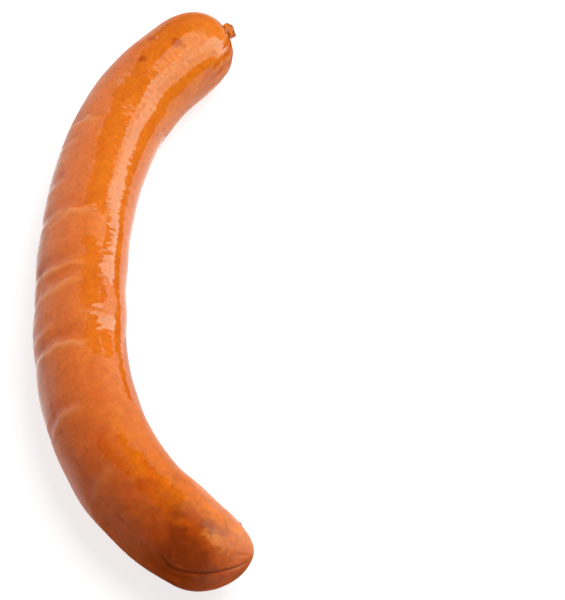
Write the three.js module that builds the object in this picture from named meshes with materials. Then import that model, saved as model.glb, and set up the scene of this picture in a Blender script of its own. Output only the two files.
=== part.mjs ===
// A cooked frankfurter sausage: one link in a natural casing, lying in an open curve.
// Millimetres, +Z up, the table at z = 0. Stations run along the centreline from the far end's pole.
// The far end is a blunt dome with a short twisted stub of casing, and the near end closes in a point.

import * as THREE from 'three';

// The link along its centreline
const LINK_LENGTH = 193.4;
const STUB_LENGTH = 2.6;
const BEND_RADII = [108, 66, 125, 280, 84, 61, 46]; // at even stations, far end first
const MIDDLE_HEADING = THREE.MathUtils.degToRad(-89.7);

// Its thickness
const HALF_THICKNESSES = [11.3, 11.8, 11.7, 11.8, 12.1, 12.0]; // at even stations, far end first
const PRESSED_FLAT = 0.3; // how far the underside would reach below the table if it were round

// Its ends: length of the run from full thickness to nothing, and how full the run's outline is
const FAR_DOME = { run: 15.3, fullness: 2.47 };
const NEAR_DOME_OUTER = { run: 14, fullness: 1.82 };
const NEAR_DOME_INNER = { run: 24, fullness: 1.75 };
const NEAR_TIP = { run: 22.5, inward: 1.6, up: 1.8 };

// The twisted stub of casing
const STUB_NECK_RADIUS = 1.35;
const STUB_MOUTH_RADIUS = 1.85;
const STUB_LOBES = 4;
const STUB_LOBE_DEPTH = 0.16; // as a share of the stub's radius
const STUB_TWIST = 0.5; // radians for each millimetre

// Folds of the casing across the outer side: middle angle and reach in degrees, 0 on the inner side
// of the curve and 90 on top
const FOLD_WIDTH = 1.7;
const FOLDS = [
  { station: 49.5, depth: 0.3, middle: 140, reach: 42 },
  { station: 61.5, depth: 0.25, middle: 158, reach: 38 },
  { station: 79.2, depth: 0.45, middle: 140, reach: 62 },
  { station: 95.6, depth: 0.5, middle: 145, reach: 60 },
  { station: 103, depth: 0.35, middle: 150, reach: 50 },
  { station: 110.4, depth: 0.15, middle: 75, reach: 40 },
  { station: 118.8, depth: 0.45, middle: 140, reach: 68 },
];

// How finely the surface is divided
const SIDES = 36;
const BODY_RINGS = 84;
const END_RINGS = 13;
const STUB_RINGS = 5;
const BEND_STEPS_PER_MM = 4;

// A value between evenly spaced values, joined smoothly. share runs from 0 to 1.
function blend(values, share) {
  const place = THREE.MathUtils.clamp(share, 0, 1) * (values.length - 1);
  const index = Math.min(Math.floor(place), values.length - 2);
  const mix = THREE.MathUtils.smoothstep(place - index, 0, 1);
  return THREE.MathUtils.lerp(values[index], values[index + 1], mix);
}

// The centreline in the plane of the table. The bend is one over the bend radius, the heading is
// the bend added up along the link, and the place is the heading added up. The stub runs straight on.
class LinkCentreline extends THREE.Curve {
  constructor() {
    super();
    const bends = BEND_RADII.map((radius) => 1 / radius);
    const steps = Math.round((STUB_LENGTH + LINK_LENGTH) * BEND_STEPS_PER_MM);
    this.step = (STUB_LENGTH + LINK_LENGTH) / steps;
    this.headings = [0];
    for (let i = 0; i < steps; i++) {
      const station = (i + 0.5) * this.step - STUB_LENGTH;
      const bend = station < 0 ? 0 : blend(bends, station / LINK_LENGTH);
      this.headings.push(this.headings[i] + bend * this.step);
    }
    const turn = MIDDLE_HEADING - this.heading(LINK_LENGTH / 2);
    this.headings = this.headings.map((heading) => heading + turn);
    this.places = [new THREE.Vector3()];
    for (let i = 0; i < steps; i++) {
      const heading = (this.headings[i] + this.headings[i + 1]) / 2;
      const stride = new THREE.Vector3(Math.cos(heading), Math.sin(heading), 0);
      this.places.push(this.places[i].clone().addScaledVector(stride, this.step));
    }
  }

  // The step that holds a station, and how far into that step it is
  locate(station) {
    const place = (station + STUB_LENGTH) / this.step;
    const index = THREE.MathUtils.clamp(Math.floor(place), 0, this.headings.length - 2);
    return { index, mix: place - index };
  }

  heading(station) {
    const { index, mix } = this.locate(station);
    return THREE.MathUtils.lerp(this.headings[index], this.headings[index + 1], mix);
  }

  getPoint(share, target = new THREE.Vector3()) {
    const { index, mix } = this.locate(share * (STUB_LENGTH + LINK_LENGTH) - STUB_LENGTH);
    return target.lerpVectors(this.places[index], this.places[index + 1], mix);
  }
}

// How thick a closing end is at a distance from its pole, from 0 to 1: a superellipse
function dome(distance, { run, fullness }) {
  const inward = 1 - THREE.MathUtils.clamp(distance / run, 0, 1);
  return (1 - inward ** fullness) ** (1 / fullness);
}

function halfThickness(station) {
  return blend(HALF_THICKNESSES, station / LINK_LENGTH);
}

// The stub opens from its neck towards its cut mouth. Its section has lobes that turn along it.
function stubRadius(station, angle) {
  const along = -station / STUB_LENGTH;
  const opening = THREE.MathUtils.lerp(STUB_NECK_RADIUS, STUB_MOUTH_RADIUS, Math.sin(along * Math.PI / 2));
  return opening * (1 + STUB_LOBE_DEPTH * Math.cos(STUB_LOBES * (angle + STUB_TWIST * station)));
}

// The surface's distance from the centreline. The near end closes over a longer run on the inner side.
function surfaceRadius(station, angle) {
  if (station <= 0) {
    return stubRadius(station, angle);
  }
  const fromTip = LINK_LENGTH - station;
  const innerShare = (1 + Math.cos(angle)) / 2;
  const near = THREE.MathUtils.lerp(dome(fromTip, NEAR_DOME_OUTER), dome(fromTip, NEAR_DOME_INNER), innerShare);
  const body = halfThickness(station) * dome(station, FAR_DOME) * near;
  return Math.max(body, station < 1 ? STUB_NECK_RADIUS : 0);
}

// How deep the casing's folds are at a place: a bell along the link, fading out around it
function foldDepth(station, angle) {
  const degrees = THREE.MathUtils.euclideanModulo(THREE.MathUtils.radToDeg(angle), 360);
  let depth = 0;
  for (const fold of FOLDS) {
    const along = Math.exp(-(((station - fold.station) / FOLD_WIDTH) ** 2));
    const around = 1 - THREE.MathUtils.smoothstep(Math.abs(degrees - fold.middle), 0.4 * fold.reach, fold.reach);
    depth += fold.depth * along * around;
  }
  return depth;
}

// Stations of the rings: close together where the ends round over, even along the body
function ringStations() {
  const stations = [];
  for (let i = 0; i < STUB_RINGS; i++) {
    stations.push(-STUB_LENGTH * (1 - i / STUB_RINGS));
  }
  for (let i = 0; i < END_RINGS; i++) {
    stations.push(FAR_DOME.run * (1 - Math.cos((i + 0.35) / END_RINGS * Math.PI / 2)));
  }
  const bodyEnd = LINK_LENGTH - NEAR_DOME_OUTER.run;
  for (let i = 0; i < BODY_RINGS; i++) {
    stations.push(THREE.MathUtils.lerp(FAR_DOME.run, bodyEnd, i / BODY_RINGS));
  }
  for (let i = 0; i < END_RINGS; i++) {
    stations.push(LINK_LENGTH - NEAR_DOME_OUTER.run * (1 - Math.sin(i / END_RINGS * Math.PI / 2)));
  }
  return stations;
}

// The straight link: its outer profile turned about its own axis, closed on the axis at both ends
function straightLink() {
  const stations = ringStations();
  const rings = stations.map((station) => new THREE.Vector2(surfaceRadius(station, Math.PI), station));
  const mouth = new THREE.Vector2(0, -STUB_LENGTH);
  const tip = new THREE.Vector2(0, LINK_LENGTH);
  return new THREE.LatheGeometry([mouth, ...rings, tip], SIDES);
}

// Bends the straight link onto its centreline, gives each point its own distance from it, and
// presses the underside flat on the table
function layOnTable(geometry, centreline) {
  const positions = geometry.attributes.position;
  const point = new THREE.Vector3();
  for (let i = 0; i < positions.count; i++) {
    point.fromBufferAttribute(positions, i);
    const station = point.y;
    const angle = Math.atan2(point.x, point.z);
    const onAxis = Math.hypot(point.x, point.z) < 1e-6;
    const radius = onAxis ? 0 : surfaceRadius(station, angle) - foldDepth(station, angle);
    const towardsTip = THREE.MathUtils.clamp(1 - (LINK_LENGTH - station) / NEAR_TIP.run, 0, 1) ** 2;
    const inward = radius * Math.cos(angle) + NEAR_TIP.inward * towardsTip;
    const height = halfThickness(station) - PRESSED_FLAT + NEAR_TIP.up * towardsTip + radius * Math.sin(angle);
    const heading = centreline.heading(station);
    const share = (station + STUB_LENGTH) / (STUB_LENGTH + LINK_LENGTH);
    centreline.getPoint(share, point);
    point.x -= Math.sin(heading) * inward;
    point.y += Math.cos(heading) * inward;
    positions.setXYZ(i, point.x, point.y, Math.max(height, 0));
  }
}

// Moves the origin to the middle of the box around the link, at the table
function centreOnTable(geometry) {
  geometry.computeBoundingBox();
  const middle = geometry.boundingBox.getCenter(new THREE.Vector3());
  geometry.translate(-middle.x, -middle.y, 0);
}

function makeSausage() {
  const geometry = straightLink();
  layOnTable(geometry, new LinkCentreline());
  centreOnTable(geometry);
  geometry.computeVertexNormals();
  const casing = new THREE.MeshStandardMaterial({ color: 0xd0702c, roughness: 0.3, metalness: 0 });
  const mesh = new THREE.Mesh(geometry, casing);
  mesh.name = 'sausage';
  return mesh;
}

const group = new THREE.Group();
group.add(makeSausage());

export default group;
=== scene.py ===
# %% [markdown]
# # A cooked frankfurter sausage
#
# This lesson finishes one long slim sausage that has already been built as a plain solid. The solid says how
# long and thick the link is and how it bends. Here it gets what makes it look like food: the lumps and folds
# of its casing, a tuck at its pointed end, a twisted stub, and a wet, smoked surface.
#
# The first step loads the solid. Everything that follows is worked out in its frame, in metres, and the box
# around the solid is kept, to place the finished link on it.

# %% Load the imported model
import math

import bpy
import numpy as np
from mathutils import Matrix, Vector


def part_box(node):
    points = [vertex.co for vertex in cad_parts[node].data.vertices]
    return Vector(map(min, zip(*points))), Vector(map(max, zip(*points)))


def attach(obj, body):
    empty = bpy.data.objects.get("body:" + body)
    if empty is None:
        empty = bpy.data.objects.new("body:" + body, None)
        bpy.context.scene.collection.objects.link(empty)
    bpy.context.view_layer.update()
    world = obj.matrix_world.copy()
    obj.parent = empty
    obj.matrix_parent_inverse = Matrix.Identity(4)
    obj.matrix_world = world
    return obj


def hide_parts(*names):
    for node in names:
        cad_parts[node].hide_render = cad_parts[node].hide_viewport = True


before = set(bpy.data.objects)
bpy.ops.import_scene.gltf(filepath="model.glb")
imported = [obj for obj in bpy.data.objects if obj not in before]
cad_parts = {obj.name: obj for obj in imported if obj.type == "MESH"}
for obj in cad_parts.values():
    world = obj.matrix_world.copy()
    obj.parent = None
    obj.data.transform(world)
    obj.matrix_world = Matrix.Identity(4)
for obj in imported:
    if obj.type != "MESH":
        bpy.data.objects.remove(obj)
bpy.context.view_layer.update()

link_low, link_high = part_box("sausage")
print("nodes of the packed model:", sorted(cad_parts))

# %% [markdown]
# ## The camera
#
# The picture was taken from the pointed end, looking down at the table at a bit under 60 degrees. A long lens
# from about arm's length keeps the two ends of the link nearly the same size. Blender's camera looks along
# its own -Z axis, so it is turned until that axis points at the target.

# %% Camera
CAMERA_TARGET = Vector((0.0351, 0.0022, 0))
CAMERA_ELEVATION = math.radians(57)
CAMERA_DISTANCE = 0.65
CAMERA_LENS_MM = 149.37

camera = bpy.data.objects.new("camera", bpy.data.cameras.new("camera"))
bpy.context.scene.collection.objects.link(camera)
camera_back = Vector((0, -math.cos(CAMERA_ELEVATION), math.sin(CAMERA_ELEVATION)))
camera.location = CAMERA_TARGET + CAMERA_DISTANCE * camera_back
camera.rotation_mode = "QUATERNION"
camera.rotation_quaternion = camera_back.to_track_quat("Z", "Y")
camera.data.lens = CAMERA_LENS_MM
bpy.context.scene.camera = camera
print("camera at", tuple(round(value, 3) for value in camera.location))

# %% [markdown]
# ## Where a point on the casing is
#
# A sausage is easiest to describe straight. Every point of its casing has a station, which is its distance
# along the centreline from the blunt far end, and an angle around it. Angle 0 is the inner side of the bend,
# 90 is the top, 180 is the outer side and 270 is the underside. The whole surface is then one function of the
# station and the angle, and a last step bends it onto the curved centreline.
#
# The sizes here are in millimetres, as for the solid, and the link is turned into metres only when its mesh
# is made.

# %% Sizes of the link
METRES_PER_MM = 0.001
LINK_LENGTH = 193.4
STUB_LENGTH = 2.6
BEND_RADII = np.array([108, 66, 125, 280, 84, 61, 46])  # at even stations, far end first
MIDDLE_HEADING = math.radians(-89.7)
HALF_THICKNESSES = np.array([11.3, 11.8, 11.7, 11.8, 12.1, 12.0])  # at even stations, far end first
MEAN_RADIUS = float(HALF_THICKNESSES.mean())
PRESSED_FLAT = 0.3  # how far a round underside would reach below the table

# %% [markdown]
# ## The centreline
#
# The link bends unevenly: strongly near both ends and hardly in the middle. So the bend is blended between a
# few radii, the heading is the bend added up along the link, and the place is the heading added up. Adding up
# is one call to `cumsum`, on a fine row of stations.

# %% Centreline
BEND_STEP = 0.25


def blend(values, share):
    """Evenly spaced values joined smoothly: between two neighbours, the mix follows 3t² - 2t³."""
    place = np.clip(share, 0, 1) * (len(values) - 1)
    index = np.minimum(place.astype(int), len(values) - 2)
    t = place - index
    mix = t * t * (3 - 2 * t)
    return values[index] * (1 - mix) + values[index + 1] * mix


def make_centreline():
    """Stations, headings and places.

    Heading = sum of bend × step, and place = sum of (cos, sin)(heading) × step.
    """
    stations = np.arange(-STUB_LENGTH, LINK_LENGTH + BEND_STEP, BEND_STEP)
    middles = stations[:-1] + BEND_STEP / 2
    bend = np.where(middles < 0, 0, blend(1 / BEND_RADII, middles / LINK_LENGTH))
    heading = np.concatenate([[0], np.cumsum(bend * BEND_STEP)])
    heading += MIDDLE_HEADING - np.interp(LINK_LENGTH / 2, stations, heading)
    middle_heading = (heading[1:] + heading[:-1]) / 2
    x = np.concatenate([[0], np.cumsum(np.cos(middle_heading) * BEND_STEP)])
    y = np.concatenate([[0], np.cumsum(np.sin(middle_heading) * BEND_STEP)])
    return stations, heading, x, y


centreline = make_centreline()
turn = math.degrees(centreline[1][-1] - centreline[1][0])
print(f"the centreline turns through {turn:.0f} degrees")

# %% [markdown]
# ## How the ends close
#
# The blunt far end is a full dome. The near end runs out to a point, over a longer way on the inner side than
# on the outer one, and its tip is drawn inward and up a little. Both are superellipses, whose one number says
# how full the curve is: 2 is a plain ellipse, and more is squarer.

# %% Domes
FAR_DOME_RUN, FAR_DOME_FULLNESS = 15.3, 2.47
NEAR_OUTER_RUN, NEAR_OUTER_FULLNESS = 14, 1.82
NEAR_INNER_RUN, NEAR_INNER_FULLNESS = 24, 1.75
NEAR_TIP_RUN, NEAR_TIP_INWARD, NEAR_TIP_UP = 22.5, 1.6, 1.8


def degrees_from(centre, angle):
    """How far an angle in radians is from a centre in degrees, the short way round."""
    return (np.degrees(angle) - centre + 180) % 360 - 180


def smoothstep(value, start, end):
    """0 before start, 1 after end, and 3t² - 2t³ between them."""
    t = np.clip((value - start) / (end - start), 0, 1)
    return t * t * (3 - 2 * t)


def dome(distance, run, fullness):
    """(1 - (1 - distance / run)^fullness)^(1 / fullness): from 0 at the pole to 1 where the dome ends."""
    inward = 1 - np.clip(distance / run, 0, 1)
    return (1 - inward**fullness) ** (1 / fullness)


def half_thickness(station):
    return blend(HALF_THICKNESSES, station / LINK_LENGTH)


def link_radius(station, angle):
    """Half thickness × far dome × near dome, whose inner and outer side are mixed by the angle."""
    to_tip = LINK_LENGTH - station
    inner_share = (1 + np.cos(angle)) / 2
    inner = dome(to_tip, NEAR_INNER_RUN, NEAR_INNER_FULLNESS)
    outer = dome(to_tip, NEAR_OUTER_RUN, NEAR_OUTER_FULLNESS)
    near = outer + (inner - outer) * inner_share
    return half_thickness(station) * dome(station, FAR_DOME_RUN, FAR_DOME_FULLNESS) * near


# %% [markdown]
# ## The twisted stub
#
# Links are made in one long casing that is twisted between them and cut. What is left at the far end is a
# short stub of twisted skin. It is nearly as wide at the cut as where it leaves the dome, and it has four
# lobes that wind round it.

# %% Stub
STUB_NECK_RADIUS, STUB_MOUTH_RADIUS = 2.1, 1.95
STUB_LOBES, STUB_LOBE_DEPTH, STUB_TWIST = 4, 0.16, 0.5


def stub_radius(station, angle):
    """Neck to mouth along a quarter sine, × (1 + depth × cos(lobes × (angle + twist × station)))."""
    along = np.clip(-station / STUB_LENGTH, 0, 1)
    opening = STUB_NECK_RADIUS + (STUB_MOUTH_RADIUS - STUB_NECK_RADIUS) * np.sin(along * math.pi / 2)
    return opening * (1 + STUB_LOBE_DEPTH * np.cos(STUB_LOBES * (angle + STUB_TWIST * station)))


# %% [markdown]
# ## Folds across the casing
#
# Where the link bends, its skin has too much length on one side and buckles into thin folds that run round
# it. Each fold is a narrow ridge with a shallow valley on the side of the far end. A fold leans and wanders a
# little, and it fades out at both ends of its reach. A long scuffed crease also runs along the outer side.

# %% Folds
FOLD_HEIGHT = 0.40  # of a full fold
FOLD_VALLEY_WIDTH, FOLD_VALLEY_DEPTH = 1.7, 0.9  # as shares of the ridge beside it
FOLD_WANDER = 0.35
FOLD_WANDER_DEGREES = 8, 3.3  # the turn round the link that each of its two waves takes for a radian
FOLDS = [
    # station and angle of the middle, lean in mm per 90 degrees, reach to either side, height, ridge width.
    # A negative height makes a groove.
    (50.6, 126, 2.2, 36, 0.34, 1.2),
    (57.8, 140, 2.0, 22, 0.18, 1.0),
    (63.2, 142, -21, 16, -0.22, 0.6),
    (70.5, 142, 3, 26, 0.24, 1.3),
    (79.6, 116, 4.6, 52, 0.46, 1.4),
    (82.4, 128, 5.0, 26, 0.18, 1.0),
    (96.2, 120, 2.6, 48, 0.50, 1.5),
    (102.4, 124, 6.5, 44, 0.42, 1.5),
    (109.8, 70, 2.5, 24, 0.24, 0.6),
    (113.5, 142, 2.0, 24, 0.22, 1.1),
    (118.9, 122, 0.6, 54, 0.50, 1.3),
    (137.2, 134, 1.0, 36, 0.32, 1.3),
    (155.5, 130, 2.0, 30, 0.16, 1.4),
]
SCUFF_ANGLE, SCUFF_START, SCUFF_END, SCUFF_FADE = 142, 57, 172, 8
SCUFF_DEPTH, SCUFF_WIDTH = 0.09, 0.45
SCUFF_WANDER = [(1.2, 5.1), (0.7, 1.9)]  # degrees, and the mm that the wave takes for a radian


def fold_height(station, angle):
    """Sum over the folds of height × reach fade × (ridge bell - valley bell beside it)."""
    total = np.zeros(np.broadcast(station, angle).shape)
    slow, quick = FOLD_WANDER_DEGREES
    for middle, centre, lean, reach, height, width in FOLDS:
        off = degrees_from(centre, angle)
        fade = 1 - smoothstep(np.abs(off), 0.5 * reach, reach)
        wander = FOLD_WANDER * (np.sin(off / slow + middle) + 0.5 * np.sin(off / quick + 2 * middle))
        beside = station - middle - lean * off / 90 - wander
        ridge = np.exp(-((beside / width) ** 2))
        valley_width = FOLD_VALLEY_WIDTH * width
        valley = np.exp(-(((beside + valley_width) / valley_width) ** 2))
        total += height * fade * (ridge - FOLD_VALLEY_DEPTH * valley)
    return total


def scuff_height(station, angle):
    """A groove bell round a nearly straight line along the outer side, broken up along its length."""
    wander = sum(degrees * np.sin(station / length) for degrees, length in SCUFF_WANDER)
    beside = np.radians(np.degrees(angle) % 360 - SCUFF_ANGLE - wander) * MEAN_RADIUS
    reach = smoothstep(station - SCUFF_START, 0, SCUFF_FADE) * smoothstep(SCUFF_END - station, 0, SCUFF_FADE)
    broken = 0.6 + 0.4 * np.sin(station / 1.3 + 2 * np.sin(station / 3.7))
    return -SCUFF_DEPTH * reach * broken * np.exp(-((beside / SCUFF_WIDTH) ** 2))


# %% [markdown]
# ## Lumps, dents and wrinkles
#
# Ground meat never fills a casing evenly. Soft lumps come from a handful of waves with seeded random
# directions, worked out on the straight link so that they join up round it. The same sum with short waves
# that are stretched round the link gives the fine wrinkles of the casing. A few dents and swellings that
# the link really has are bells at their own places.

# %% Lumps, dents and wrinkles
LUMPS = {"seed": 11, "count": 26, "along": (12, 40), "around": (11, 34)}
LUMP_HEIGHT = 0.085
LUMP_ENDS = (2, 16), (1, 12)  # the distances from the far and the near pole over which they grow
WRINKLES = {"seed": 5, "count": 64, "along": (1.4, 4.0), "around": (3, 10)}
WRINKLE_PATCHES = {"seed": 8, "count": 14, "along": (10, 30), "around": (8, 20)}
WRINKLE_HEIGHT = 0.006
WRINKLE_ENDS = (0.2, 3), (0.5, 6)
SWELLINGS = [
    # station, angle, length and width of the bell in mm, height. A dent has a negative height.
    (97.6, 44, 2.4, 2.6, -0.12),
    (113.2, 44, 3.0, 3.2, -0.16),
    (160.7, 28, 5.0, 9.0, -0.35),
    (187.6, 25, 0.5, 0.5, 0.30),
    (24.0, 76, 7.0, 6.0, 0.12),
    (20.5, 116, 0.9, 2.6, -0.22),
    (30.5, 132, 3.5, 4.0, -0.12),
    (50.0, 140, 1.2, 3.2, -0.28),
    (78.6, 158, 1.6, 4.0, -0.35),
    (87.0, 162, 2.6, 4.0, 0.18),
    (95.0, 151, 1.5, 4.2, -0.55),
    (103.0, 160, 1.4, 3.6, -0.30),
    (110.0, 165, 3.0, 4.0, 0.15),
    (118.2, 160, 1.6, 4.2, -0.40),
    (136.6, 164, 1.5, 4.0, -0.25),
]


def waves(station, angle, seed, count, along, around):
    """Sum of cos(wave · place + phase) over random waves, scaled so that its spread is 1."""
    random = np.random.default_rng(seed)
    place = np.stack(np.broadcast_arrays(station, MEAN_RADIUS * np.cos(angle), MEAN_RADIUS * np.sin(angle)))
    total = np.zeros(place.shape[1:])
    for _ in range(count):
        turned = random.uniform(0, 2 * math.pi)
        across = np.array([math.cos(turned), math.sin(turned)]) / random.uniform(*around)
        wave = 2 * math.pi * np.array([1 / random.uniform(*along), *across])
        total += np.cos(np.tensordot(wave, place, 1) + random.uniform(0, 2 * math.pi))
    return total / math.sqrt(count / 2)


def off_the_ends(station, far, near):
    """0 at both poles and 1 along the body, growing between two distances from each pole."""
    return smoothstep(station, *far) * smoothstep(LINK_LENGTH - station, *near)


def lump_height(station, angle):
    """Long waves, faded out at both ends."""
    return LUMP_HEIGHT * off_the_ends(station, *LUMP_ENDS) * waves(station, angle, **LUMPS)


def wrinkle_height(station, angle):
    """Short waves that are long round the link, stronger in some patches than in others."""
    patches = smoothstep(waves(station, angle, **WRINKLE_PATCHES), -1.2, 1.2)
    height = WRINKLE_HEIGHT * off_the_ends(station, *WRINKLE_ENDS) * (0.7 + patches)
    return height * waves(station, angle, **WRINKLES)


def swelling_height(station, angle):
    """Sum of height × exp(-(along / length)² - (around / width)²)."""
    total = np.zeros(np.broadcast(station, angle).shape)
    for middle, centre, length, width, height in SWELLINGS:
        around = np.radians(degrees_from(centre, angle)) * MEAN_RADIUS
        total += height * np.exp(-(((station - middle) / length) ** 2) - (around / width) ** 2)
    return total


# %% [markdown]
# ## The tuck at the pointed end
#
# The casing is folded over itself at the pointed end. The fold runs from the tip along the outer side as a
# dark groove, with a full lip below it, and its end turns up.

# %% Tuck
TUCK_STATIONS = np.array([174.5, 176.6, 178.4, 181.5, 186, 189.5, 193.4])
TUCK_ANGLES = np.array([144, 151, 157, 156, 154.5, 151, 152])
TUCK_GROOVE_DEPTH, TUCK_GROOVE_WIDTH = 0.42, 0.30
TUCK_LIP_HEIGHT, TUCK_LIP_WIDTH, TUCK_LIP_REACH = 0.24, 1.6, 8  # the reach is in lip widths
TUCK_ENDS = (174, 179), (0, 2.5)


def tuck_height(station, angle):
    """Groove bell at the line, and on its lower side a lip that rises as d × exp(1 - d), d in lip widths."""
    line = np.interp(station, TUCK_STATIONS, TUCK_ANGLES)
    below = np.radians(np.degrees(angle) % 360 - line) * link_radius(station, angle)
    groove = np.exp(-((below / TUCK_GROOVE_WIDTH) ** 2))
    lip = np.clip(below / TUCK_LIP_WIDTH, 0, TUCK_LIP_REACH)
    lip = lip * np.exp(1 - lip)
    return off_the_ends(station, *TUCK_ENDS) * (TUCK_LIP_HEIGHT * lip - TUCK_GROOVE_DEPTH * groove)


# %% [markdown]
# ## Pleats at both ends
#
# Where the twist gathers the casing, it lies in fine pleats that fan out over the dome and die away. They
# reach furthest on the inner side. The pointed end has a few short ones too, where the casing was drawn
# together.

# %% Pleats
FAR_PLEATS = {"counts": (23, 37), "shift": 0.0}
NEAR_PLEATS = {"counts": (13, 22), "shift": 2.0}
FAR_PLEAT_HEIGHT, NEAR_PLEAT_HEIGHT = 0.24, 0.08
FAR_PLEAT_START, NEAR_PLEAT_START = (0.02, 0.8), (0.1, 1.5)  # distances from the pole
FAR_PLEAT_REACH, INNER_PLEAT_REACH, NEAR_PLEAT_REACH = 0.6, 18, 4
LONGEST_PLEAT_ANGLE = -0.3  # in radians, a little below the inner side


def pleats(distance, angle, counts, shift):
    """Two cosines round the end that wander with the distance from its pole."""
    first, second = counts
    wander = 0.5 * np.sin(distance / 2.7 + shift)
    return np.cos(first * angle + wander) + 0.7 * np.cos(second * angle - 2 * wander + 1)


def pleat_height(station, angle):
    """Pleats × a fade from each pole, which at the far end is longer on the inner side."""
    inner_share = (1 + np.cos(angle - LONGEST_PLEAT_ANGLE)) / 2
    to_tip = LINK_LENGTH - station
    far_reach = FAR_PLEAT_REACH + INNER_PLEAT_REACH * inner_share**6
    far_fade = smoothstep(station, *FAR_PLEAT_START) * np.exp(-station / far_reach)
    near_fade = smoothstep(to_tip, *NEAR_PLEAT_START) * np.exp(-to_tip / NEAR_PLEAT_REACH)
    far = FAR_PLEAT_HEIGHT * far_fade * pleats(station, angle, **FAR_PLEATS)
    return far + NEAR_PLEAT_HEIGHT * near_fade * pleats(to_tip, angle, **NEAR_PLEATS)


# %% [markdown]
# ## The surface as a grid
#
# The rows of the grid are rings round the link. They are laid at even distances along its outer profile, so
# the steep faces of the domes get as many as they need. The columns crowd together towards the outer side,
# which has the narrowest grooves. Each point's height over the round shape is the sum of everything above,
# and the underside is pressed flat where it would go below the table.

# %% Rows and columns
ROWS = 640
COLUMNS = 148
COLUMN_CROWDING, CROWDED_ANGLE = 0.35, math.radians(125)
MOUTH_RINGS, MOUTH_SINK = 8, 0.7
NECK_REACH = 1  # how far past the pole the link is no thinner than the stub's neck
RELIEF_ROOM = 3  # the relief dies away where the link is thinner than this
STUB_SAMPLES, PROFILE_SAMPLES = 60, 400
SEAM_ANGLE = -math.pi / 2  # on the underside


def plain_radius(station, angle):
    """The stub's radius before station 0, and after it the link's, which keeps room for the stub's neck."""
    neck = np.where(station < NECK_REACH, STUB_NECK_RADIUS, 0)
    body = np.maximum(link_radius(station, angle), neck)
    return np.where(station <= 0, stub_radius(station, angle), body)


def row_stations():
    """Stations at even steps of arc length along the profile of stub and link."""
    quarter = np.linspace(0, math.pi / 2, PROFILE_SAMPLES)
    stub = np.linspace(-STUB_LENGTH, 0, STUB_SAMPLES)
    far = FAR_DOME_RUN * (1 - np.cos(quarter))
    body = np.linspace(FAR_DOME_RUN, LINK_LENGTH - NEAR_OUTER_RUN, PROFILE_SAMPLES)
    near = LINK_LENGTH - NEAR_OUTER_RUN * (1 - np.sin(quarter))
    fine = np.concatenate([stub, far[1:], body[1:], near[1:]])
    radius = plain_radius(fine, math.pi)
    arc = np.concatenate([[0], np.cumsum(np.hypot(np.diff(fine), np.diff(radius)))])
    return np.interp(np.linspace(0, arc[-1], ROWS), arc, fine)


def surface_radius(station, angle):
    """The plain radius, plus all the relief after station 0."""
    plain = plain_radius(station, angle)
    reliefs = (fold_height, scuff_height, lump_height, wrinkle_height)
    reliefs += (swelling_height, tuck_height, pleat_height)
    relief = sum(height(station, angle) for height in reliefs)
    return plain + relief * smoothstep(plain, 0, RELIEF_ROOM) * (station > 0)


def column_angles():
    """Even angles a, each moved to a - crowding × sin(a - crowded angle)."""
    even = SEAM_ANGLE + np.arange(COLUMNS) * 2 * math.pi / COLUMNS
    crowded = even - COLUMN_CROWDING * np.sin(even - CROWDED_ANGLE)
    return crowded - crowded[0] + SEAM_ANGLE


stations = row_stations()
print(f"{ROWS} rings of {COLUMNS} points, {1000 * np.diff(stations).max():.0f} micrometres apart at most")

# %% [markdown]
# ## Bending the link onto its centreline
#
# The straight link's point at radius r goes to the centreline's place, plus r·cos(angle) towards the inner
# side and r·sin(angle) upward. The solid's frame has its origin in the middle of its box, so the finished
# shape is moved until the box around the plain round link matches the box of the node it replaces.

# %% Bend and place
def lay_on_table(station, angle, radius):
    """Bends points onto the centreline and presses the underside flat.

    Place = centreline(station) + inward × (r cos + tip inward) + up × (half thickness + tip up + r sin).
    """
    line_stations, headings, xs, ys = centreline
    heading = np.interp(station, line_stations, headings)
    to_tip = np.clip(1 - (LINK_LENGTH - station) / NEAR_TIP_RUN, 0, 1) ** 2
    inward = radius * np.cos(angle) + NEAR_TIP_INWARD * to_tip
    height = half_thickness(station) - PRESSED_FLAT + NEAR_TIP_UP * to_tip + radius * np.sin(angle)
    x = np.interp(station, line_stations, xs) - np.sin(heading) * inward
    y = np.interp(station, line_stations, ys) + np.cos(heading) * inward
    return np.stack([x, y, np.maximum(height, 0) + 0 * x], axis=-1)


def plain_middle(station, angle):
    """The middle of the box round the link without its relief, in the centreline's own frame."""
    places = lay_on_table(station, angle, plain_radius(station, angle)).reshape(-1, 3)
    return (places.min(axis=0) + places.max(axis=0)) / 2


angles = column_angles()
grid_station, grid_angle = np.meshgrid(stations, angles, indexing="ij")
node_middle = (np.array(link_low) + np.array(link_high)) / 2 / METRES_PER_MM
shift = node_middle - plain_middle(grid_station, grid_angle)
shift[2] = 0
print("shift onto the node, mm:", shift.round(2))
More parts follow.
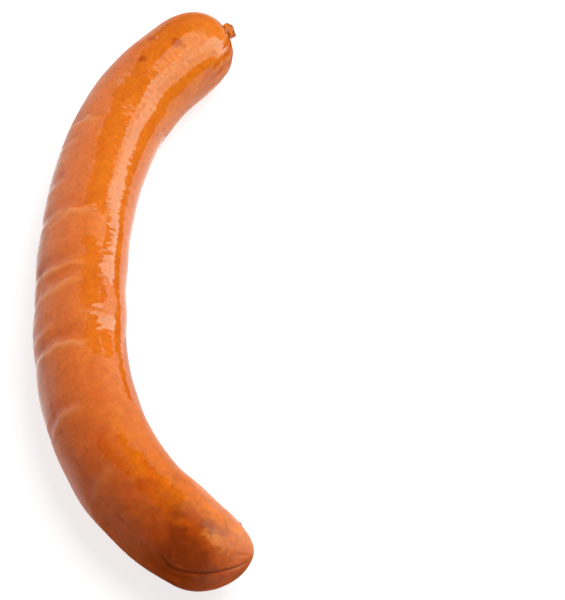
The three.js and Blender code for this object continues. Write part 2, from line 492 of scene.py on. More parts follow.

# %% [markdown]
# ## The wet film
#
# The casing is wet only in places. Where a film of juice lies on it, it mirrors like glass, and the dry skin
# beside it has a soft sheen. The film's outline matters a lot to how the link looks, so it is stored on each
# point of the mesh as a distance in millimetres, positive inside the film, from a few rounded rectangles on
# the unrolled casing. The material adds the fine rough edge. The grooves get painted shade, a darker colour,
# and the ridges of folds and far pleats get a painted sheen, a paler colour. So each point also stores how
# deep it lies in a crease and how high it stands on a ridge, for the painted shade and the painted sheen.

# %% Wet film, painted crease shade and painted ridge sheen
# Shares of the painted shade in the grooves
CREASE_SHADE_SHARES = {"scuff": 0.5, "pleat": 0.7, "valley": 0.4}
# How much painted sheen the far pleats' ridges get
PLEAT_SHEEN_SHARE = 0.8
PLEAT_MARKS_END, PLEAT_MARKS_FADE = 40, 20  # only the far end's pleats are marked
FILM_ROUNDING = 3.0
FILM = [
    # from station, to station, from angle, to angle
    (-12, 21, 20, 121),
    (8, 43, 27, 104),
    (40, 60, -24, 96),
    (54, 79, -48, 90),
    (72, 97.5, -70, 60),
    (96, 100.5, -70, 52),
    (86.5, 109.3, 53, 87),
    (110.8, 123.5, 42, 82),
    (110.3, 116.5, -70, 60),
    (90, 112, -70, 36),
    (108, 128, -52, 43),
    (124, 134, -12, 43),
    (130, 139, 14, 43),
    (146.5, 155, 77, 108),
    (153, 174, 70, 101),
    (57, 134, 143, 222),
]


def film_depth(station, angle):
    """How far inside the film, in mm: the largest of the rectangles' rounding - outside - inside.

    Both are measured from the rectangle that is smaller by the rounding. Outside is 0 within it, and inside
    is 0 beyond it and negative within it.
    """
    mm_per_degree = math.radians(1) * MEAN_RADIUS
    deepest = np.full(np.broadcast(station, angle).shape, -np.inf)
    for start, end, low, high in FILM:
        along = np.abs(station - (start + end) / 2) - (end - start) / 2 + FILM_ROUNDING
        off = np.abs(degrees_from((low + high) / 2, angle))
        around = (off - (high - low) / 2) * mm_per_degree + FILM_ROUNDING
        outside = np.hypot(np.maximum(along, 0), np.maximum(around, 0))
        inside = np.minimum(np.maximum(along, around), 0)
        deepest = np.maximum(deepest, FILM_ROUNDING - outside - inside)
    return deepest


def pleat_share(station, angle):
    """The far end's pleats, as shares of their full height."""
    fade = smoothstep(PLEAT_MARKS_END - station, 0, PLEAT_MARKS_FADE)
    return pleat_height(station, angle) / FAR_PLEAT_HEIGHT * fade


def crease_shade(station, angle):
    """Painted shade in the grooves of the tuck, scuff, pleats and fold valleys: a share of their depth, 0 to
    1.
    """
    tuck = -tuck_height(station, angle) / TUCK_GROOVE_DEPTH
    scuff = -CREASE_SHADE_SHARES["scuff"] * scuff_height(station, angle) / SCUFF_DEPTH
    pleat = -CREASE_SHADE_SHARES["pleat"] * pleat_share(station, angle)
    valley = -CREASE_SHADE_SHARES["valley"] * fold_height(station, angle) / FOLD_HEIGHT
    return np.clip(np.maximum(np.maximum(tuck, scuff), np.maximum(pleat, valley)), 0, 1)


def painted_ridge_sheen(station, angle):
    """Painted sheen on the ridges of folds and far pleats: a share of the ridge's height, 0 to 1."""
    fold = fold_height(station, angle) / FOLD_HEIGHT
    return np.clip(np.maximum(fold, PLEAT_SHEEN_SHARE * pleat_share(station, angle)), 0, 1)


print(f"the film reaches {film_depth(grid_station, grid_angle).max():.0f} mm inside its outline at most")

# %% [markdown]
# ## The mesh
#
# The cut mouth of the stub is closed by rings that shrink towards the axis and sink in a little, and one
# point closes each pole. Quads join neighbouring rings. Each point also stores its place on the straight
# link, because the finish is drawn there: a wrinkle that runs round the straight link runs round the bent
# one too. The map for baking is the unrolled casing, with its seam on the underside.

# %% Points of the link
def mouth_rings():
    """Stations and radii that close the stub: radius × share, sunk by (1 - share²) × the full sink."""
    share = np.linspace(0, 1, MOUTH_RINGS + 1)[1:-1, None]
    rim = stub_radius(np.array(-STUB_LENGTH), angles)[None, :]
    sunk = -STUB_LENGTH + MOUTH_SINK * (1 - share**2)
    return sunk + 0 * rim, rim * share


def link_points():
    """Rings from the stub's mouth to the tip, then the two poles: places, straight places and marks."""
    mouth_station, mouth_radius = mouth_rings()
    body_radius = surface_radius(grid_station, grid_angle)
    station = np.concatenate([mouth_station, grid_station[:-1]])
    radius = np.concatenate([mouth_radius, body_radius[:-1]])
    angle = np.broadcast_to(angles, station.shape)
    rings = lay_on_table(station, angle, radius).reshape(-1, 3)
    straight = np.stack([station, radius * np.cos(angle), radius * np.sin(angle)], axis=-1).reshape(-1, 3)
    pole_station = np.array([-STUB_LENGTH + MOUTH_SINK, LINK_LENGTH])
    poles = lay_on_table(pole_station, np.zeros(2), np.zeros(2))
    pole_straight = np.stack([pole_station, np.zeros(2), np.zeros(2)], axis=-1)
    marks = {}
    for name, measure in (("film", film_depth), ("crease", crease_shade), ("lifted", painted_ridge_sheen)):
        marks[name] = np.concatenate([measure(station, angle).ravel(), measure(pole_station, np.zeros(2))])
    return np.concatenate([rings, poles]), np.concatenate([straight, pole_straight]), marks


# %% Mesh of the link
def link_faces(ring_count):
    """Quads between neighbouring rings, triangles to the two poles, and each corner's place on the map.

    The map's columns run on past the seam, so that the unrolled casing isn't torn there.
    """
    column, last = np.arange(COLUMNS), ring_count - 1
    columns = np.stack([column, column, column + 1, column + 1], axis=-1)
    rings = np.arange(last)[:, None, None] + np.array([0, 1, 1, 0]) + 0 * columns
    columns = columns + 0 * rings
    quads = rings * COLUMNS + columns % COLUMNS
    fan = np.stack([column, column + 1], axis=-1)
    pole = np.full((COLUMNS, 1), ring_count * COLUMNS)
    start_fan = np.hstack([fan % COLUMNS, pole])
    end_fan = np.hstack([last * COLUMNS + fan[:, ::-1] % COLUMNS, pole + 1])
    fan_columns = np.stack([np.hstack([turned, column[:, None] + 0.5]) for turned in (fan, fan[:, ::-1])])
    columns = np.concatenate([columns.ravel(), fan_columns.ravel()]) / COLUMNS
    rings = np.concatenate([rings.ravel(), np.repeat([0, last], 3 * COLUMNS)]) / last
    return quads.reshape(-1, 4), np.concatenate([start_fan, end_fan]), np.stack([rings, columns], axis=-1)


def make_link_mesh(name):
    places, straight, marks = link_points()
    quads, fans, unrolled = link_faces(len(places) // COLUMNS)
    mesh = bpy.data.meshes.new(name)
    corners = np.concatenate([quads.ravel(), fans.ravel()])
    sizes = np.concatenate([np.full(len(quads), 4), np.full(len(fans), 3)])
    starts = np.concatenate([[0], np.cumsum(sizes)[:-1]])
    mesh.vertices.add(len(places))
    mesh.vertices.foreach_set("co", ((places + shift) * METRES_PER_MM).ravel())
    mesh.loops.add(len(corners))
    mesh.loops.foreach_set("vertex_index", corners.astype(np.int32))
    mesh.polygons.add(len(sizes))
    mesh.polygons.foreach_set("loop_start", starts.astype(np.int32))
    mesh.polygons.foreach_set("loop_total", sizes.astype(np.int32))
    mesh.polygons.foreach_set("use_smooth", np.ones(len(sizes), dtype=bool))
    mesh.uv_layers.new(name="OFBake").uv.foreach_set("vector", unrolled.ravel())
    mesh.attributes.new("straight", "FLOAT_VECTOR", "POINT").data.foreach_set("vector", straight.ravel())
    for mark, values in marks.items():
        mesh.attributes.new(mark, "FLOAT", "POINT").data.foreach_set("value", values)
    mesh.update(calc_edges=True)
    mesh.validate()
    return mesh


link = bpy.data.objects.new("link", make_link_mesh("link"))
bpy.context.scene.collection.objects.link(link)
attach(link, "root")
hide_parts("sausage")
triangles = sum(len(face.vertices) - 2 for face in link.data.polygons)
print(f"link: {len(link.data.vertices)} points, {triangles} triangles")

# %% [markdown]
# ## Writing shader maths as expressions
#
# Shader nodes are boxes joined by wires, and a formula made of them is hard to read. The class below wraps a
# number that varies over the surface, so that `1 - mask * 0.5` adds the Math nodes for it. Every other node
# comes from one method, which takes the node's type, its settings and what goes into its sockets.

# %% Numbers that vary over a surface
class Field:
    """A node's output, with operators that add Math nodes."""

    def __init__(self, finish, socket):
        self.finish = finish
        self.socket = socket

    def math(self, operation, *others):
        return self.finish.node("Math", {"operation": operation}, dict(enumerate((self, *others))))

    def __add__(self, other):
        return self.math("ADD", other)

    def __sub__(self, other):
        return self.math("SUBTRACT", other)

    def __rsub__(self, other):
        return self.finish.node("Math", {"operation": "SUBTRACT"}, {0: other, 1: self})

    def __mul__(self, other):
        return self.math("MULTIPLY", other)

    def larger(self, other):
        return self.math("MAXIMUM", other)

    def step(self, start, end):
        """0 at start and 1 at end, joined smoothly. It falls where start is the larger."""
        settings = {"interpolation_type": "SMOOTHSTEP"}
        return self.finish.node("MapRange", settings, {"Value": self, "From Min": start, "From Max": end})

    __radd__ = __add__
    __rmul__ = __mul__


class Finish:
    """A material, a light or the world, with its node tree."""

    def __init__(self, owner):
        owner.use_nodes = True
        self.owner = owner
        self.tree = owner.node_tree
        self.tree.nodes.clear()

    def node(self, kind, settings=None, sockets=None, output=0):
        """Adds a node: its settings first, then its sockets by name or place. Returns one output."""
        added = self.tree.nodes.new("ShaderNode" + kind)
        for name, value in (settings or {}).items():
            if name == "stops":
                self.set_stops(added.color_ramp, value)
            else:
                setattr(added, name, value)
        for name, value in (sockets or {}).items():
            if isinstance(value, Field):
                self.tree.links.new(value.socket, added.inputs[name])
            else:
                added.inputs[name].default_value = value
        return Field(self, added.outputs[output]) if len(added.outputs) else None

    def set_stops(self, ramp, stops):
        while len(ramp.elements) < len(stops):
            ramp.elements.new(1)
        for element, (place, colour) in zip(ramp.elements, stops):
            element.position = place
            element.color = (*colour, 1)

    def parts(self, vector):
        """The X, Y and Z of a vector."""
        split = self.node("SeparateXYZ", sockets={0: vector}).socket.node
        return [Field(self, output) for output in split.outputs]

    def mix(self, share, low, high):
        """A colour between two: low where share is 0 and high where it is 1."""
        low = low if isinstance(low, Field) else (*low, 1)
        high = high if isinstance(high, Field) else (*high, 1)
        return self.node("Mix", {"data_type": "RGBA"}, {0: share, 6: low, 7: high}, output=2)


print("shader maths ready")

# %% [markdown]
# ## The casing's finish
#
# The casing is thin, wet and smoked. Its colour is a warm orange that is darker on the outer side and turns
# brown on the outer side of the pointed end, partly its own colour and partly painted shade. It is mottled
# by the meat under it, with a few dark specks and yellowish spots of fat. Creases and the stub's neck get
# painted shade, a darker colour, and the cut edge is darker too. The ridges of folds and far pleats get a
# painted sheen, a paler colour, and brown-red streaks on the lower inner side of the far end paint shade
# there. The film makes the casing mirror, and the dry skin between is rougher. Beside the brown tip there is
# one more wet patch, and the top of the blunt dome is a little satin. Pores and the finest wrinkles are too
# small for the mesh, so they are a bump, worked out on the straight link.

# %% Casing colours and marks
INNER_COLOURS = [
    # share of the link's length, colour
    (0.00, (0.68, 0.168, 0.006)),
    (0.30, (0.67, 0.160, 0.009)),
    (0.60, (0.65, 0.146, 0.009)),
    (0.80, (0.62, 0.134, 0.003)),
    (1.00, (0.64, 0.146, 0.003)),
]
# Darker than the inner side, most towards the pointed end: partly the casing's brown, partly painted shade
OUTER_COLOURS_AND_SHADE = [
    (0.00, (0.64, 0.146, 0.008)),
    (0.35, (0.62, 0.135, 0.010)),
    (0.60, (0.59, 0.120, 0.007)),
    (0.78, (0.53, 0.094, 0.003)),
    (0.92, (0.38, 0.056, 0.001)),
    (1.00, (0.58, 0.104, 0.003)),
]
SPECKS = [
    # station, angle, radius in mm and strength, as in the next two lists
    (36.7, 76, 0.35, 0.8),
    (24.7, 42, 0.30, 0.9),
    (56.1, 40, 0.35, 0.6),
    (113.9, 92, 0.40, 0.7),
    (43.5, 16, 0.55, 0.5),
    (40.0, 10, 0.7, 0.4),
    (187.8, 25, 0.7, 0.9),
    (147.5, 122, 0.6, 0.6),
    (132.5, 53, 0.45, 0.6),
    (28.0, 98, 0.8, 0.5),
]
REDDISH = [
    (17.6, 82, 1.7, 1.0),
    (27.6, 99, 1.3, 0.7),
    (20.5, 116, 1.2, 1.0),
    (95.2, 151, 2.2, 1.0),
    (50.2, 138, 1.2, 0.8),
    (66.6, 133, 0.9, 0.8),
    (163.0, 95, 1.6, 0.5),
    (178.0, 88, 2.2, 0.8),
    (171.0, 132, 2.0, 0.7),
    (174.0, 126, 1.6, 0.8),
    (169.5, 140, 1.3, 0.8),
    (180.0, 105, 1.5, 0.8),
]
FAT_SPOTS = [
    (182.6, 100, 1.3, 0.6),
    (184.0, 102, 1.8, 0.7),
    (185.6, 106, 1.8, 0.6),
    (187.6, 113, 1.8, 0.5),
]
# Each share says how much of a colour there is at most.
RED_COLOUR, MOTTLED_SHARE, CRUMB_SHARE = (0.50, 0.066, 0.003), 0.25, 0.22
# Painted shade: part of the pointed end's brown, and the darkening of creases
BROWN_AND_SHADE_COLOUR, BROWN_AND_SHADE_SHARE, CREASE_SHADE_SHARE = (0.20, 0.024, 0.001), 0.75, 0.8
# Painted sheen: the ridges of folds and far pleats are painted paler
RIDGE_SHEEN_COLOUR, RIDGE_SHEEN_SHARE = (0.76, 0.29, 0.09), 0.55
# Brown-red streaks that also paint shade on the lower inner side of the far end
STREAK_AND_SHADE_COLOUR, STREAK_AND_SHADE_SHARE = (0.50, 0.074, 0.002), 0.7
SPOT_COLOUR, SPOT_SHARE = (0.43, 0.060, 0.002), 0.9
# Painted shade at the stub's neck ring, and a darker cut edge
NECK_SHADE_AND_RIM_COLOUR, NECK_SHADE_AND_RIM_SHARE = (0.15, 0.035, 0.008), 0.8
FAT_COLOUR = (0.80, 0.25, 0.03)
SPECK_COLOUR = (0.33, 0.040, 0.003)
CLOUDING, CLOUDING_AT_TIP, CRUMB_BRIGHTNESS = 0.3, 0.6, 0.5
SIDE_WANDER, MARK_WANDER = 8, 2.4  # mm, how far the sides' border and the marks' outlines wander
MARK_EDGE = 1.4, 0.4  # where a mark begins and is full, as shares of its radius

WANDER_GRAIN = (1.2, 1.2, 3, 0.6, 6)
GRAINS = {
    # length of a grain in mm along the straight link and round it, detail, roughness, shift
    "blotches": (6, 5, 4, 0.6, 3),
    "patches": (7, 6, 4, 0.6, 0),
    "crumbs": (1.0, 1.3, 4, 0.7, 0),
    "dots": (0.6, 0.8, 2, 0.5, 9),
    "clouds": (2.6, 2.8, 3, 0.6, 12),
    "strands": (9, 1.1, 3, 0.6, 14),
    "strokes": (0.9, 2.6, 3, 0.6, 1),
    "wobble": (3.5, 4.0, 3, 0.55, 2),
    "wrinkles": (0.9, 2.2, 2, 0.5, 0),
    "ripples": (2.6, 4.0, 1, 0.5, 7),
    "pores": (0.35, 0.42, 2, 0.5, 5),
    "satin": (2.0, 3.0, 3, 0.6, 8),
}


def make_noise(finish, straight, grain, output="Fac"):
    """Noise on the straight link with one of the grains above."""
    along, around, detail, roughness, shift = grain
    stretch = (1 / along, 1 / around, 1 / around)
    sockets = {0: straight, 1: stretch, 2: (shift, shift, shift)}
    scaled = finish.node("VectorMath", {"operation": "MULTIPLY_ADD"}, sockets)
    sockets = {"Vector": scaled, "Scale": 1.0, "Detail": detail, "Roughness": roughness}
    return finish.node("TexNoise", {"noise_dimensions": "3D"}, sockets, output)


def near_any(finish, place, marks):
    """1 on any of these marks and 0 away from them, with soft edges."""
    total = None
    for station, angle, radius, strength in marks:
        angle = math.radians(angle)
        out = float(link_radius(np.array(float(station)), angle))
        centre = (station, out * math.cos(angle), out * math.sin(angle))
        distance = finish.node("VectorMath", {"operation": "DISTANCE"}, {0: place, 1: centre}, "Value")
        mark = distance.step(*(share * radius for share in MARK_EDGE)) * strength
        total = mark if total is None else total.larger(mark)
    return total


# %% Casing colour
# Zones of the casing: the stations, and the distances on the straight link, between which they come and go
BROWN_AND_SHADE_ZONE = (168, 179), (191, 184), (4, 14)
SOAKED_ZONE = (164, 180), (188, 181), (9, 14)
STREAKED_AND_SHADED_ZONE = (48, 6), (2, 7), (6.5, 3)
SATIN_ZONE = (16, 6), (1, 7)
NECK_SHADE_RING, CUT_EDGE = ((0.5, -0.1), (-1.1, -0.5)), (-1.8, -2.5)
REDDER_END, CLOUDY_END, BROWN_CREASE_SHADE = (110, 150), (140, 180), (120, 165)


def tip_zone(station, outward, rise, fall, side):
    """1 on a stretch of the link's upper outer side and 0 elsewhere."""
    return station.step(*rise) * station.step(*fall) * outward.step(*side)


def casing_colour(finish, straight, noise, crease, lifted):
    """Two ramps along the link, one for each side, then mottling, painted shade and sheen, spots and the
    stub.
    """
    station, inner, upper = finish.parts(straight)
    crumbs, clouds = noise["crumbs"], noise["clouds"]

    along = station * (1 / LINK_LENGTH)
    inner_colour = finish.node("ValToRGB", {"stops": INNER_COLOURS}, {"Fac": along}, "Color")
    outer_colour = finish.node("ValToRGB", {"stops": OUTER_COLOURS_AND_SHADE}, {"Fac": along}, "Color")
    to_outer = ((noise["blotches"] - 0.5) * SIDE_WANDER - inner).step(-SIDE_WANDER / 2, SIDE_WANDER / 2)
    colour = finish.mix(to_outer, inner_colour, outer_colour)

    mottled = (1 + station.step(*REDDER_END)) * MOTTLED_SHARE
    colour = finish.mix(noise["patches"].step(0.45, 0.68) * mottled, colour, RED_COLOUR)
    colour = finish.mix(crumbs.step(0.50, 0.30) * CRUMB_SHARE, colour, RED_COLOUR)
    colour = finish.mix(noise["dots"].step(0.60, 0.74) * mottled, colour, RED_COLOUR)
    clouding = (clouds - 0.5) * (station.step(*CLOUDY_END) * CLOUDING_AT_TIP + CLOUDING)
    brightness = 1 + (crumbs - 0.5) * CRUMB_BRIGHTNESS + clouding
    colour = finish.node("VectorMath", {"operation": "SCALE"}, {0: colour, "Scale": brightness})

    # The upper outer side of the pointed end is painted brown, partly its own colour and partly painted shade
    brown_and_shade = tip_zone(station, upper - inner, *BROWN_AND_SHADE_ZONE) * noise["blotches"].step(0.30, 0.56)
    colour = finish.mix(brown_and_shade * BROWN_AND_SHADE_SHARE, colour, BROWN_AND_SHADE_COLOUR)
    # Painted sheen on the ridges of folds and far pleats
    colour = finish.mix(lifted * RIDGE_SHEEN_SHARE, colour, RIDGE_SHEEN_COLOUR)
    # Painted shade in the creases, red at first and brown towards the pointed end
    crease_shade_colour = finish.mix(station.step(*BROWN_CREASE_SHADE), RED_COLOUR, BROWN_AND_SHADE_COLOUR)
    colour = finish.mix(crease * noise["patches"].step(0.30, 0.5) * CREASE_SHADE_SHARE, colour, crease_shade_colour)

    # Brown-red streaks that also paint shade on the lower inner side of the far end
    low_stations, inner_side, underneath = STREAKED_AND_SHADED_ZONE
    streaked_and_shaded = station.step(*low_stations) * inner.step(*inner_side) * upper.step(*underneath)
    colour = finish.mix(streaked_and_shaded * noise["strands"].step(0.46, 0.58) * STREAK_AND_SHADE_SHARE, colour, STREAK_AND_SHADE_COLOUR)

    wander = make_noise(finish, straight, WANDER_GRAIN, "Color")
    sockets = {0: wander, 1: (MARK_WANDER,) * 3, 2: straight}
    place = finish.node("VectorMath", {"operation": "MULTIPLY_ADD"}, sockets)
    place = finish.node("VectorMath", {"operation": "SUBTRACT"}, {0: place, 1: (MARK_WANDER / 2,) * 3})
    fat = near_any(finish, place, FAT_SPOTS) * clouds.step(0.3, 0.6)
    colour = finish.mix(fat, colour, FAT_COLOUR)
    colour = finish.mix(near_any(finish, place, REDDISH) * SPOT_SHARE, colour, SPOT_COLOUR)
    colour = finish.mix(near_any(finish, place, SPECKS), colour, SPECK_COLOUR)
    # Painted shade at the stub's neck ring where it meets the dome, and a darker cut edge
    neck = station.step(*NECK_SHADE_RING[0]) * station.step(*NECK_SHADE_RING[1])
    return finish.mix(neck.larger(station.step(*CUT_EDGE)) * NECK_SHADE_AND_RIM_SHARE, colour, NECK_SHADE_AND_RIM_COLOUR)


# %% Casing material
WET_ROUGHNESS, DRY_ROUGHNESS, ROUGHNESS_SPREAD, SATIN_ROUGHNESS = 0.06, 0.42, 0.4, 0.22
FILM_EDGE, STROKE_REACH, WOBBLE_REACH = 0.15, 2.6, 4.5  # mm
WRINKLE_RELIEF, RIPPLE_RELIEF, PORE_RELIEF, FILM_RELIEF = 0.04, 0.10, 0.012, 0.02  # mm
MEAT = {
    "IOR": 1.50,
    "Subsurface Weight": 0.25,
    "Subsurface Radius": (1.0, 0.30, 0.10),
    "Subsurface Scale": 0.002,
}


def stored(finish, name, output="Fac"):
    """One of the marks that each point of the mesh stores."""
    return finish.node("Attribute", {"attribute_name": name}, output=output)


def make_casing():
    finish = Finish(bpy.data.materials.new("smoked_casing"))
    straight = stored(finish, "straight", "Vector")
    station, inner, upper = finish.parts(straight)
    noise = {name: make_noise(finish, straight, grain) for name, grain in GRAINS.items()}

    strokes = (noise["strokes"] - 0.5) * STROKE_REACH
    wobble = (noise["wobble"] - 0.5) * WOBBLE_REACH
    film = (stored(finish, "film") + strokes + wobble).step(-FILM_EDGE, FILM_EDGE)
    wet = film.larger(tip_zone(station, upper - inner, *SOAKED_ZONE))
    dry = 1 - wet

    low_stations, outer_side = SATIN_ZONE
    satin_top = station.step(*low_stations) * (upper - inner).step(*outer_side)
    uneven = (noise["satin"] - 0.5) * ROUGHNESS_SPREAD
    roughness = WET_ROUGHNESS + satin_top * SATIN_ROUGHNESS
    roughness = roughness + dry * (DRY_ROUGHNESS - WET_ROUGHNESS + uneven)

    relief = noise["wrinkles"] * WRINKLE_RELIEF + noise["ripples"] * RIPPLE_RELIEF
    relief = relief + noise["pores"] * dry * PORE_RELIEF + wet * FILM_RELIEF
    bump = finish.node("Bump", sockets={"Strength": 1.0, "Distance": METRES_PER_MM, "Height": relief})

    colour = casing_colour(finish, straight, noise, stored(finish, "crease"), stored(finish, "lifted"))
    sockets = {"Base Color": colour, "Roughness": roughness, "Normal": bump, **MEAT}
    surface = finish.node("BsdfPrincipled", sockets=sockets)
    finish.node("OutputMaterial", sockets={"Surface": surface})
    return finish.owner


link.data.materials.append(make_casing())
print("casing:", len(link.data.materials[0].node_tree.nodes), "nodes")

# %% [markdown]
# ## The floor and the studio
#
# The link lies on a pale table that glows a little, as a light table does, so that its shadow stays soft. Its
# colours are lit by one large key light overhead. A wet thing also shows the studio it stands in. The bright
# band along its inner side is a soft box, and the paler flank on its outer side is a white panel that fades
# towards the front.
#
# What the casing mirrors between those is set by cards. A dark strip stands along the inner side and gives
# the thin deep band below the bright one. Flat on the table, dark cards lie in front of the link, behind it
# and beside its far end, and a dim grey one lies inside its bend. A small pale card hangs over the far end
# and brightens its dome. Soft box, panel and cards only show in reflections, so each can be set without
# changing how the colours are lit.

# %% Floor
FLOOR_REACH = 8.0
TABLE_GLOW = 0.74


def make_quads(name, corners, faces, finish):
    """A piece of the studio."""
    mesh = bpy.data.meshes.new(name)
    mesh.from_pydata(corners, [], faces)
    mesh.materials.append(finish.owner)
    piece = bpy.data.objects.new(name, mesh)
    bpy.context.scene.collection.objects.link(piece)
    return piece


def plain_finish(name, base, roughness=0.5, specular=0.5, glow=(1, 1, 1), strength=0.0):
    finish = Finish(bpy.data.materials.new(name))
    surface = finish.node("BsdfPrincipled", sockets={
        "Base Color": (*base, 1),
        "Roughness": roughness,
        "Specular IOR Level": specular,
        "Emission Color": (*glow, 1),
        "Emission Strength": strength,
    })
    finish.node("OutputMaterial", sockets={"Surface": surface})
    return finish


table_finish = plain_finish("pale_table", (0.34, 0.34, 0.34), 0.8, 0.1, strength=TABLE_GLOW)
table_corners = [(x * FLOOR_REACH, y * FLOOR_REACH, 0) for x, y in ((-1, -1), (1, -1), (1, 1), (-1, 1))]
make_quads("floor", table_corners, [(0, 1, 2, 3)], table_finish)
print("floor of", 2 * FLOOR_REACH, "metres")

# %% Cards that only show in reflections
STRIP_OFFSET, STRIP_START, STRIP_END, STRIP_SAMPLES = 37.0, -30, 148, 80  # mm, like the rest of the strip
STRIP_FAR_TOP, STRIP_NEAR_TOP, STRIP_TOP_FALL = 31, 14, 30
STRIP_FAR_BOTTOM, STRIP_BOTTOM_SLOPE, STRIP_LOWEST = 12, 0.15, 0.5
FLAT_CARD_HEIGHT = 0.0005
FLAT_CARDS = {
    # corners on the table, in metres
    "front_card": [
        (-0.5, 0.0), (-0.10, -0.015), (-0.060, -0.060), (0.10, -0.085), (0.10, -0.45), (-0.5, -0.45),
    ],
    "back_card": [(-0.035, 0.135), (0.12, 0.125), (1.9, 3.0), (-1.35, 3.0)],
    "end_card": [
        (0.026, 0.068), (0.050, 0.058), (0.110, 0.045), (0.250, 0.040), (0.250, 0.100),
        (0.075, 0.112), (0.018, 0.112), (0.018, 0.086), (0.036, 0.082),
    ],
    "side_card": [(-0.012, -0.030), (0.012, -0.026), (0.018, -0.004), (-0.006, -0.010)],
}
PALE_CORNERS = [
    (0.0659, 0.0655, 0.0760), (0.0105, 0.1018, 0.0925),
    (0.0326, 0.1252, 0.0750), (0.0720, 0.0986, 0.0630),
]


def make_card(name, corners, faces, finish):
    """A card that light and the camera pass through, and that is seen where the wet casing mirrors it."""
    card = make_quads(name, corners, faces, finish)
    card.visible_camera = card.visible_diffuse = card.visible_shadow = False


def standing_strip():
    """Corners and faces of a strip beside the link.

    Bottom = far bottom - slope × station, and top = near top + rise × exp(-station / fall).
    """
    line_stations, headings, xs, ys = centreline
    station = np.linspace(STRIP_START, STRIP_END, STRIP_SAMPLES)
    heading = np.interp(station, line_stations, headings)
    before = np.minimum(station + STUB_LENGTH, 0)
    x = np.interp(station, line_stations, xs) + before * np.cos(heading) - STRIP_OFFSET * np.sin(heading)
    y = np.interp(station, line_stations, ys) + before * np.sin(heading) + STRIP_OFFSET * np.cos(heading)
    rise = (STRIP_FAR_TOP - STRIP_NEAR_TOP) * np.exp(-np.maximum(station, 0) / STRIP_TOP_FALL)
    bottom = np.maximum(STRIP_FAR_BOTTOM - STRIP_BOTTOM_SLOPE * station, STRIP_LOWEST)
    low = np.stack([x + shift[0], y + shift[1], bottom], axis=-1)
    high = np.stack([x + shift[0], y + shift[1], STRIP_NEAR_TOP + rise], axis=-1)
    corners = np.concatenate([low, high]) * METRES_PER_MM
    first = np.arange(len(station) - 1)
    faces = np.stack([first, first + 1, first + 1 + len(station), first + len(station)], axis=-1)
    return corners.tolist(), faces.tolist()


dark = plain_finish("dark_card", (0.05, 0.02, 0.01), roughness=1.0)
grey = plain_finish("grey_card", (0.05, 0.04, 0.04), strength=0.6)
pale = plain_finish("pale_card", (0, 0, 0), glow=(0.82, 1, 0.85), strength=2.1)
make_card("inner_card", *standing_strip(), dark)
for name, outline in FLAT_CARDS.items():
    corners = [(x, y, FLAT_CARD_HEIGHT) for x, y in outline]
    make_card(name, corners, [tuple(range(len(corners)))], grey if name == "side_card" else dark)
make_card("pale_card", PALE_CORNERS, [(0, 1, 2, 3)], pale)

# %% Lights
SOFT_BOX = {
    "corner": (0.356, -0.25, -0.041),
    "across": (-0.0936, 0.461, 0.041),
    "upward": (0.011, -0.054, 0.628),
    "brightness": 3.8,
    "fade": (0.64, 0.85),
    "least": 0.50,
    "colour": (0.70, 1.04, 0.92),
}
WHITE_PANEL = {
    "corner": (0.113, -0.202, 0.166),
    "across": (-0.324, 0.745, 0),
    "upward": (-0.230, -0.100, -0.166),
    "brightness": 1.4,
    "fade": (0.26, 0.48),
}
KEY = {"azimuth": 60, "elevation": 63, "distance": 1.0, "size": 0.7, "brightness": 7.1}
BACKDROP_BRIGHTNESS = 0.95
ROOM_BRIGHTNESS = 0.36
MIRRORED_ROOM_BRIGHTNESS = 0.08


def add_light(name, middle, axes, size, brightness):
    """An area light of two sides. Its power is brightness × pi × its area, so it looks that bright."""
    light = bpy.data.lights.new(name, "AREA")
    light.shape = "RECTANGLE"
    light.size, light.size_y = size
    light.energy = brightness * math.pi * size[0] * size[1]
    lamp = bpy.data.objects.new(name, light)
    lamp.location = middle
    lamp.rotation_mode = "QUATERNION"
    lamp.rotation_quaternion = Matrix(axes).transposed().to_quaternion()
    bpy.context.scene.collection.objects.link(lamp)
    return lamp


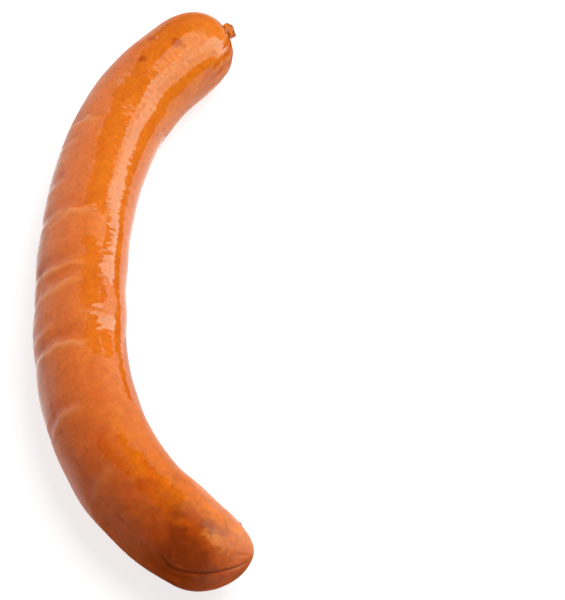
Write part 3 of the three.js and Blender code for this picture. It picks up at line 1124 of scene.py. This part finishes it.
def make_panel(name, corner, across, upward, brightness, fade, least=0.0, colour=(1, 1, 1)):
    """A mirrored rectangle from a corner along two sides.

    Its light grows from `least` of its brightness to all of it between two shares of its width.
    """
    corner, across, upward = Vector(corner), Vector(across), Vector(upward)
    middle = corner + (across + upward) / 2
    flipped = across.cross(upward).dot(middle) < 0
    across = across * (-1 if flipped else 1)
    axes = (across.normalized(), upward.normalized(), across.cross(upward).normalized())
    lamp = add_light(name, middle, axes, (across.length, upward.length), brightness)
    lamp.visible_diffuse = False
    lamp.data.color = colour
    finish = Finish(lamp.data)
    spot = finish.node("NewGeometry", output="Parametric")
    share, _, _ = finish.parts(spot)
    rise = (1 - share).step(*fade) if flipped else share.step(*fade)
    emission = finish.node("Emission", sockets={"Strength": rise * (1 - least) + least})
    finish.node("OutputLight", sockets={"Surface": emission})


def make_key(name, azimuth, elevation, distance, size, brightness):
    """A square light aimed at the link. Azimuth goes from +Y towards +X, and elevation from the table up."""
    azimuth, elevation = math.radians(azimuth), math.radians(elevation)
    level = Vector((math.sin(azimuth), math.cos(azimuth), 0)) * math.cos(elevation)
    away = level + Vector((0, 0, math.sin(elevation)))
    across = away.cross(Vector((0, 0, 1))).normalized()
    lamp = add_light(name, away * distance, (across, away.cross(across), away), (size, size), brightness)
    lamp.visible_glossy = False


def make_room():
    """The world: pale where the camera sees it, dimmer as light, and nearly dark where it is mirrored."""
    finish = Finish(bpy.data.worlds.new("room"))
    seen = finish.node("LightPath", output="Is Camera Ray")
    mirrored = finish.node("LightPath", output="Is Glossy Ray")
    brightness = seen * (BACKDROP_BRIGHTNESS - ROOM_BRIGHTNESS)
    brightness = brightness + mirrored * (MIRRORED_ROOM_BRIGHTNESS - ROOM_BRIGHTNESS) + ROOM_BRIGHTNESS
    surface = finish.node("Background", sockets={"Color": (1, 1, 1, 1), "Strength": brightness})
    finish.node("OutputWorld", sockets={"Surface": surface})
    bpy.context.scene.world = finish.owner


make_panel("soft_box", **SOFT_BOX)
make_panel("white_panel", **WHITE_PANEL)
make_key("key", **KEY)
make_room()
bpy.context.scene.view_settings.view_transform = "Standard"
